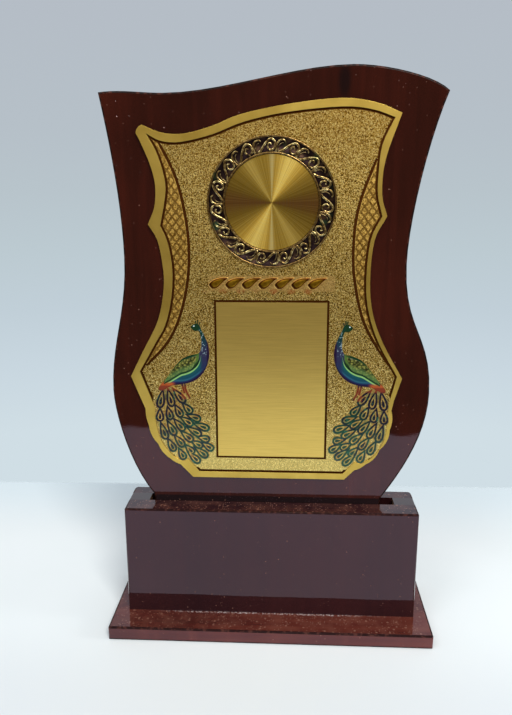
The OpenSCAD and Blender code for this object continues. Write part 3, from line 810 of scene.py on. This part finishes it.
def smooth_path(points, n=4):
    """Points on a smooth run through the given ones."""
    path = []
    last = len(points) - 1
    for i in range(last):
        before, a, b, after = (points[max(0, min(last, k))] for k in range(i - 1, i + 3))
        for k in range(n):
            t = k / n
            path.append(0.5 * (2 * a + (b - before) * t + (2 * before - 5 * a + 4 * b - after) * t * t
                               + (3 * a - before - 3 * b + after) * t ** 3))
    return path + [points[-1]]


def strand(bm, path, widths, height, sides=8):
    """Extrudes an oval ring along a path on the front of the medallion, and closes both ends."""
    last = len(path) - 1
    ways = [(path[min(i + 1, last)] - path[max(i - 1, 0)]).normalized() for i in range(last + 1)]
    ring = bmesh.ops.create_circle(bm, cap_ends=False, radius=0.5, segments=sides,
                                   matrix=Matrix.Identity(4))["verts"]

    def place(i):
        side = ways[i].cross(Vector((0, 1, 0))).normalized()
        tall = Vector((0, -1, 0)) * height * (widths[i] / max(widths)) ** 0.5
        section = Matrix((side * widths[i], tall, ways[i])).transposed().to_4x4()
        return Matrix.Translation(path[i]) @ section

    bmesh.ops.transform(bm, matrix=place(0), verts=ring)
    edges = list({e for v in ring for e in v.link_edges})
    first = edges
    for i in range(1, len(path)):
        grown = bmesh.ops.extrude_edge_only(bm, edges=edges)["geom"]
        ring = [g for g in grown if isinstance(g, bmesh.types.BMVert)]
        edges = [g for g in grown if isinstance(g, bmesh.types.BMEdge)]
        bmesh.ops.transform(bm, matrix=place(i) @ place(i - 1).inverted(), verts=ring)
    bmesh.ops.edgeloop_fill(bm, edges=first)
    bmesh.ops.edgeloop_fill(bm, edges=edges)


def tapered(start, end, count, swell=0.0):
    """Widths that run evenly from start to end, with a swell in the middle."""
    shares = [i / (count - 1) for i in range(count)]
    return [start + (end - start) * t + swell * math.sin(math.pi * t) for t in shares]


scroll_bm = bmesh.new()
strand_seat = 0.0001
strand_rise = 0.0003
# The (along, across, rise) places of the three strands that make a scroll, and then for each
# its width at start and end, its swell and its height.
curl = [(-0.62, 0.0, 0.0), (-0.42, 0.2, 0.1), (-0.2, 0.6, 0.2), (0.02, 0.88, 0.25),
        (0.19, 0.66, 0.25), (0.16, 0.24, 0.2), (-0.02, 0.12, 0.2), (-0.13, 0.36, 0.2),
        (-0.04, 0.6, 0.2), (0.05, 0.48, 0.15)]
leaf = [(0.27, 0.0, 0.0), (0.25, 0.4, 0.1), (0.36, 0.78, 0.2), (0.53, 0.86, 0.2), (0.62, 0.72, 0.1)]
vein = [(0.34, 0.02, 0.0), (0.35, 0.36, 0.0), (0.44, 0.6, 0.0), (0.53, 0.66, 0.0)]
for run, start, end, swell, height in ((curl, 0.0014, 0.0008, 0.0001, 0.0010),
                                       (leaf, 0.0013, 0.0006, 0.0002, 0.0009),
                                       (vein, 0.0007, 0.0004, 0.0001, 0.0006)):
    path = smooth_path([on_ring(a, b, strand_seat + c * strand_rise) for a, b, c in run])
    strand(scroll_bm, path, tapered(start, end, len(path), swell), height)
bmesh.ops.recalc_face_normals(scroll_bm, faces=scroll_bm.faces)
bmesh.ops.spin(scroll_bm, geom=scroll_bm.verts[:] + scroll_bm.edges[:] + scroll_bm.faces[:],
               cent=axis, axis=(0, 1, 0), dvec=(0, 0, 0), steps=scroll_count - 1,
               angle=2 * math.pi * (scroll_count - 1) / scroll_count, use_duplicate=True)
for face in scroll_bm.faces:
    face.smooth = True
print("scroll faces:", len(scroll_bm.faces))

# %% Blackened brass
antique, shader = finish_of("antique_brass")
here = places()
rise = fade(apart(here)[1], ring_floor - 0.00012, ring_top + 0.00004)
wear = noise(here, 700, 3)
patina = ramp(noise(here, 240, 2), (0.35, (30, 21, 24)), (0.55, (42, 30, 28)),
              (0.7, (70, 52, 40)))
shine = ramp(wear, (0.32, (84, 62, 40)), (0.5, (138, 114, 66)), (0.66, (222, 204, 146)))
polish = times(rise, fade(wear, 0.2, 0.55))
reach = length_of(places(move=-axis, scale=(1, 0, 1)))
on_rims = larger(fade(reach, floor_out - 0.0002, floor_out), fade(reach, floor_in + 0.0002, floor_in))
shine = blend(times(on_rims, 0.75), shine, (122, 92, 48))
verdigris = times(fade(noise(here, 95, 1), 0.66, 0.76), 0.4)
colour = blend(verdigris, blend(polish, patina, shine), (50, 92, 62))
fill_in(shader, Base_Color=colour, Metallic=1.0, Roughness=minus(0.5, times(polish, 0.24)),
        Normal=bumps(wear, 0.00005, 0.5))

ring_piece = finished(ring_bm, "medallion_frame", antique)
scrolls = finished(scroll_bm, "medallion_scrolls", antique)
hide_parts("medallion_ring")
for piece in (ring_piece, scrolls):
    print(piece.name, len(piece.data.polygons), "faces")

# %% [markdown]
# The disc was spun on a lathe and polished with its turning marks left in. Such marks make
# bright wedges that point at the light, because each groove reflects only across itself.
# An anisotropic shader with its tangent laid outwards from the middle does the same. Painted
# highlights and painted shade, a faint tint that changes with the angle and fine radial
# streaks, keep the wedges on a viewer without anisotropy.

# %% Spun disc
disc_face = disc_low.y
disc_back = disc_high.y
disc_dish = 0.00006
disc_bm = turned([(0, disc_back), (disc_radius, disc_back), (disc_radius, disc_face + 0.00014),
                  (disc_radius - 0.00014, disc_face), (disc_radius - 0.0006, disc_face),
                  (disc_radius - 0.0007, disc_face + disc_dish), (0, disc_face + disc_dish)],
                 axis, 128)
for face in disc_bm.faces:
    face.smooth = abs(face.normal.y) < straight

spun, shader = finish_of("spun_brass")
across, _, high = apart(places(move=-axis))
outwards = together(across, high)
turning = noise(together(length_of(outwards)), 2600, 3, 0.7)
angle = reckoned("ARCTAN2", high, across)


def wedge(at, half_width):
    """1 along the diameter that stands at an angle in degrees, fading over half_width."""
    off = size_of(reckoned("SINE", minus(angle, math.radians(at))))
    return fade(off, math.sin(math.radians(half_width)), 0.0)


# Painted highlights and shade: pale wedges at 66, 90 and 121 degrees, a darker reddish one at 178, and
# fine light and dark radial streaks.
rays = noise(together(angle), 26, 3, 0.7)
brass = (142, 120, 54)
for share, much, shade in ((wedge(66, 20), 0.6, (148, 142, 92)), (wedge(121, 14), 0.5, (190, 170, 104)),
                           (wedge(178, 24), 0.7, (128, 88, 68)), (wedge(90, 5.5), 0.6, (186, 180, 140)),
                           (fade(rays, 0.42, 0.66), 0.2, (232, 210, 130)),
                           (fade(rays, 0.5, 0.34), 0.2, (96, 70, 26))):
    brass = blend(times(share, much), brass, shade)
brass = blend(fade(turning, 0.35, 0.7), brass, (214, 182, 100), "SOFT_LIGHT")
tangent = node("VectorMath", {"operation": "NORMALIZE"}, Vector=outwards).outputs["Vector"]
fill_in(shader, Base_Color=brass, Metallic=1.0, Roughness=0.5, Anisotropic=0.85, Tangent=tangent,
        Normal=bumps(turning, 0.00002, 0.35))
disc = finished(disc_bm, "spun_disc", spun)
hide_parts("medallion_disc")
print("disc radius", round(disc_radius, 5))

# %% [markdown]
# ## The two peacocks
#
# Each peacock is a thin stamped figure with coloured enamel poured between raised lines.
# The pair is a common traditional ornament. The CAD figure gives the outline, the lines of
# the feathers and the levels, so a merged copy keeps them. The edges of its body and wing are
# then rounded, as poured enamel rounds them, and the feather lines are widened a little.

# %% Rounded figures
breast_x = 0.0345
figure_foot = 0.100
ground_y = field_y - 0.00015
enamel_y = ground_y - 0.0003
wing_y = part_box("peacock_left")[0].y
feather_top = figure_foot + 0.040
body_foot = figure_foot + 0.041
feather_spread = 0.00018
wing_round = 0.0005
body_round = 0.00018

peacock_pieces = {}
for side in ("peacock_left", "peacock_right"):
    bm = merged_copy(side)
    walls_moved(bm, lambda _, corner: corner.co.z < feather_top, feather_spread)
    wing_edges = list({e for f in front_faces(bm, wing_y, figure_foot, 0.2) for e in f.edges
                       if any(map(is_wall, e.link_faces))})
    softened(bm, wing_edges, wing_round, 3)
    shoulder = [e for e in bm.edges if len(e.link_faces) == 2 and e.calc_face_angle(0) > sharp_angle
                and all(v.co.z > body_foot and abs(v.co.y - enamel_y) < 2e-5 for v in e.verts)
                and sum(map(is_wall, e.link_faces)) == 1]
    softened(bm, shoulder, body_round)
    for face in bm.faces:
        face.smooth = upright < abs(face.normal.y) < straight
    print(side, "faces", len(bm.faces), "rounded edges", len(shoulder) + len(wing_edges))
    peacock_pieces[side] = bm

# %% Enamel colours
enamel, shader = finish_of("poured_enamel")
here = places()
across, depth, up = apart(here)
# Millimetres in from the breast, so below 0 on the bird, and millimetres above its foot.
inward = times(minus(breast_x, size_of(across)), 1000.0)
high = times(minus(up, figure_foot), 1000.0)
on_ground = fade(depth, enamel_y + 0.0001, enamel_y + 0.0002)
on_wing = fade(depth, enamel_y - 0.00005, enamel_y - 0.0001)
dots = cells(here, 1000)
scales = cells(here, 820)
mottle = noise(here, 600, 2)

# The two curves that part back, flank and belly are drawn inside this range of both.
drawn = (-25.0, 1.0, 36.0, 62.0)
flank = curve(inward, *drawn, (-25, 40.4), (-20.7, 42.9), (-17.7, 44.8), (-14.6, 46.6),
              (-12.2, 47.3), (-9.2, 48.6), (-6.8, 50.5), (-5.3, 52.3), (-4.3, 54.6), (-3.4, 58),
              (1, 62))
belly_edge = curve(inward, *drawn, (-25, 40.2), (-19, 41.0), (-12.4, 41.5), (-7.6, 43.7),
                   (-3.9, 46.8), (-1.2, 50.5), (0.1, 54.2), (1, 60))
over_flank = minus(high, flank)
over_edge = minus(high, belly_edge)

body = ramp(fade(high, 44, 78), (0.0, (20, 42, 74)), (0.3, (38, 38, 66)),
            (0.5, (40, 42, 66)), (0.66, (22, 48, 62)), (0.78, (10, 44, 44)), (0.88, (6, 48, 36)))
neck = times(fade(high, 57, 60), fade(high, 72.5, 71.5))
beads = times(neck, is_under(dots.outputs["Distance"], 0.3))
body = blend(times(beads, 0.75), body, (150, 172, 176))
belly = ramp(parted(over_edge, 8.0, clamp=True), (0.05, (18, 14, 40)),
             (0.2, (18, 34, 74)), (0.3, (32, 84, 100)), (0.4, (12, 58, 78)), (0.75, (10, 78, 72)))
below = times(fade(over_flank, -0.2, -0.5), fade(inward, -2.6, -5.2))
body = blend(below, body, belly)
under_rim = times(fade(over_edge, 1.5, 0.6), fade(high, 55, 53))
breast_rim = times(fade(inward, -1.0, -0.1), fade(high, 68, 64))
body = blend(larger(under_rim, breast_rim), body, (28, 14, 44))
above = times(fade(over_flank, 0.3, 0.7), fade(inward, -4.2, -5.2))
back_green = ramp(fade(over_flank, 0.5, 9.0), (0.0, (14, 42, 20)), (0.12, (16, 46, 22)),
                  (0.25, (72, 98, 40)), (0.7, (66, 94, 38)), (1.0, (14, 46, 24)))
body = blend(above, body, back_green)
stripe = times(fade(size_of(over_flank), 0.62, 0.25), fade(inward, -3.4, -4.4))
body = blend(stripe, body, (124, 172, 98))
rump = times(fade(inward, -17.5, -20.5), fade(high, 43.4, 41.6))
body = blend(rump, body, (158, 74, 32))
eye_x, eye_z = breast_x + 0.0072, figure_foot + 0.0740
for x in (eye_x, -eye_x):
    body = blend(spot_at(x, eye_z, 0.0011, 0.0010), body, (206, 222, 220))
leg = fade(high, 41.2, 40.2)
lines = ramp(fade(plus(inward, times(high, -0.8)), -60, -12),
             (0.0, (20, 14, 30)), (0.3, (18, 18, 34)), (0.6, (6, 46, 38)), (1.0, (8, 60, 42)))
patches = fade(noise(here, 240, 2), 0.46, 0.6)
lines = blend(times(patches, 0.7), lines, (16, 14, 34))
glints = fade(noise(here, 420, 1), 0.6, 0.7)
lines = blend(times(glints, 0.5), lines, (24, 104, 80))
orange = times(fade(inward, -16.0, -19.0), fade(high, 37.2, 38.6))
red_leg = times(fade(size_of(plus(inward, 12.6)), 2.6, 2.0), fade(high, 32.6, 33.2))
lines = blend(larger(red_leg, orange), lines, (112, 46, 26))
colour = blend(leg, body, lines)
wing_scales = ramp(scales.outputs["Distance"], (0.1, (142, 136, 66)), (0.4, (88, 92, 38)),
                   (0.7, (36, 38, 14)))
wing = blend(times(fade(over_flank, 5.5, 2.4), 0.55), wing_scales, (84, 122, 66))
wing = blend(fade(over_flank, 1.9, 1.3), wing, (16, 50, 26))
colour = blend(times(on_wing, fade(over_flank, 0.5, 0.8)), colour, wing)
gilt = ramp(mottle, (0.3, (190, 146, 70)), (0.7, (240, 212, 124)))
glaze = fade(noise(here, 330, 2), 0.5, 0.62)
gilt = blend(times(glaze, 0.5), gilt, (84, 130, 92))
tarnish = fade(noise(here, 500, 2), 0.55, 0.65)
gilt = blend(times(tarnish, 0.5), gilt, (140, 84, 62))
fill_in(shader, Base_Color=blend(on_ground, colour, gilt), Metallic=times(on_ground, 0.9),
        Roughness=plus(0.24, times(on_ground, 0.12)), Specular_IOR_Level=0.35,
        Coat_Weight=0.25, Coat_Roughness=0.1, Normal=bumps(mottle, 0.00004, 0.4))

for side, bm in peacock_pieces.items():
    piece = finished(bm, "enamelled_" + side, enamel)
    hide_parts(side)
    peacock_pieces[side] = piece
print("peacocks:", [len(p.data.polygons) for p in peacock_pieces.values()])

# %% [markdown]
# ## Checking the picture
#
# Named points of the photograph are compared with where the finished pieces show.

# %% Image points
bpy.context.view_layer.update()


def shown_points(piece):
    return [in_picture(piece.matrix_world @ v.co) for v in piece.data.vertices]


def carrier_tree(piece):
    return BVHTree.FromPolygons([v.co.copy() for v in piece.data.vertices],
                                [tuple(p.vertices) for p in piece.data.polygons])


def on_carrier(x, y, carrier):
    """Where the ray through a picture point meets a piece, or the piece's nearest place to it."""
    shift_x, shift_y = camera.data.shift_x, camera.data.shift_y
    ray = camera_axes @ Vector((x - W / 2 + shift_x * L, H / 2 - y + shift_y * L,
                                -L * camera_lens / camera_sensor))
    hit = carrier.ray_cast(camera_place, ray.normalized())[0]
    if hit is None:
        reach = (trophy_middle - camera_place).length
        hit = carrier.find_nearest(camera_place + ray.normalized() * reach)[0]
    return hit


points = {}


def note(name, want, got):
    """Keeps how far a shown thing is from its point, in x and y; None where it has no such point."""
    points[name] = [None if w is None else round(g - w, 2) for w, g in zip(want, got)]


def extreme(piece, way, at=0):
    shown = shown_points(piece)
    return way(shown, key=lambda p: p[at])


shield = board_pieces["shield_board"]
left_corner = extreme(shield, min)
right_corner = extreme(shield, max)
note("object left, shield's left corner", (98.3, 93.0), left_corner)
note("object right, shield's right corner", (450.6, 89.5), right_corner)
note("object top, shield's crest", (None, 63.5), extreme(shield, min, 1))
note("object bottom, plinth's front right corner", (433.0, 649.6),
     extreme(board_pieces["plinth"], max, 1))
note("plinth's left edge", (107.2, None), extreme(board_pieces["plinth"], min))
note("plinth's right edge", (433.4, None), extreme(board_pieces["plinth"], max))
front_low, front_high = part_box("base_front_board")
# The block's shown corners lie this far inside its box, on the softened edges.
edge = 0.0003
note("block's upper left corner", (124.5, 509.4),
     in_picture((front_low.x + edge, front_low.y + edge, front_high.z - edge)))
note("block's upper right corner", (419.6, 514.6),
     in_picture((front_high.x - edge, front_low.y + edge, front_high.z - edge)))
note("block's lower left corner", (131.2, 609.7),
     in_picture((front_low.x + edge, front_low.y, front_low.z)))
note("block's lower right corner", (412.8, 615.8),
     in_picture((front_high.x - edge, front_low.y, front_low.z)))
ring_shown = shown_points(ring_piece)
ring_xs, ring_ys = [p[0] for p in ring_shown], [p[1] for p in ring_shown]
note("medallion's left and upper edges", (207.0, 133.7), (min(ring_xs), min(ring_ys)))
note("medallion's right and lower edges", (336.3, 269.5), (max(ring_xs), max(ring_ys)))
disc_middle = Vector((axis.x, disc_face, axis.z))
note("disc's middle", (271.6, 202.3), in_picture(disc_middle))
met = on_carrier(271.6, 202.3, carrier_tree(disc))
print("disc's point meets it", round((met - disc_middle).length * 1000, 2), "mm from its middle")
for name, want, x, z in (("panel's upper left", (217.6, 302.2), -panel_half, panel_head),
                         ("panel's upper right", (327.0, 302.2), panel_half, panel_head),
                         ("panel's lower left", (218.3, 455.3), -panel_half, panel_foot),
                         ("panel's lower right", (325.2, 457.0), panel_half, panel_foot)):
    note(name, want, in_picture((x, panel_y, z)))
leaf_shown = shown_points(leaves)
note("row of leaves, left and upper", (208.5, 277.5),
     (min(p[0] for p in leaf_shown), min(p[1] for p in leaf_shown)))
note("row of leaves, right and lower", (327.5, 289.5),
     (max(p[0] for p in leaf_shown), max(p[1] for p in leaf_shown)))
beak = min((p for p in shown_points(peacock_pieces["peacock_left"]) if p[1] < 335), key=lambda p: p[0])
note("left peacock's beak", (190.2, 327.0), beak)
for name, away in points.items():
    print(name, away)
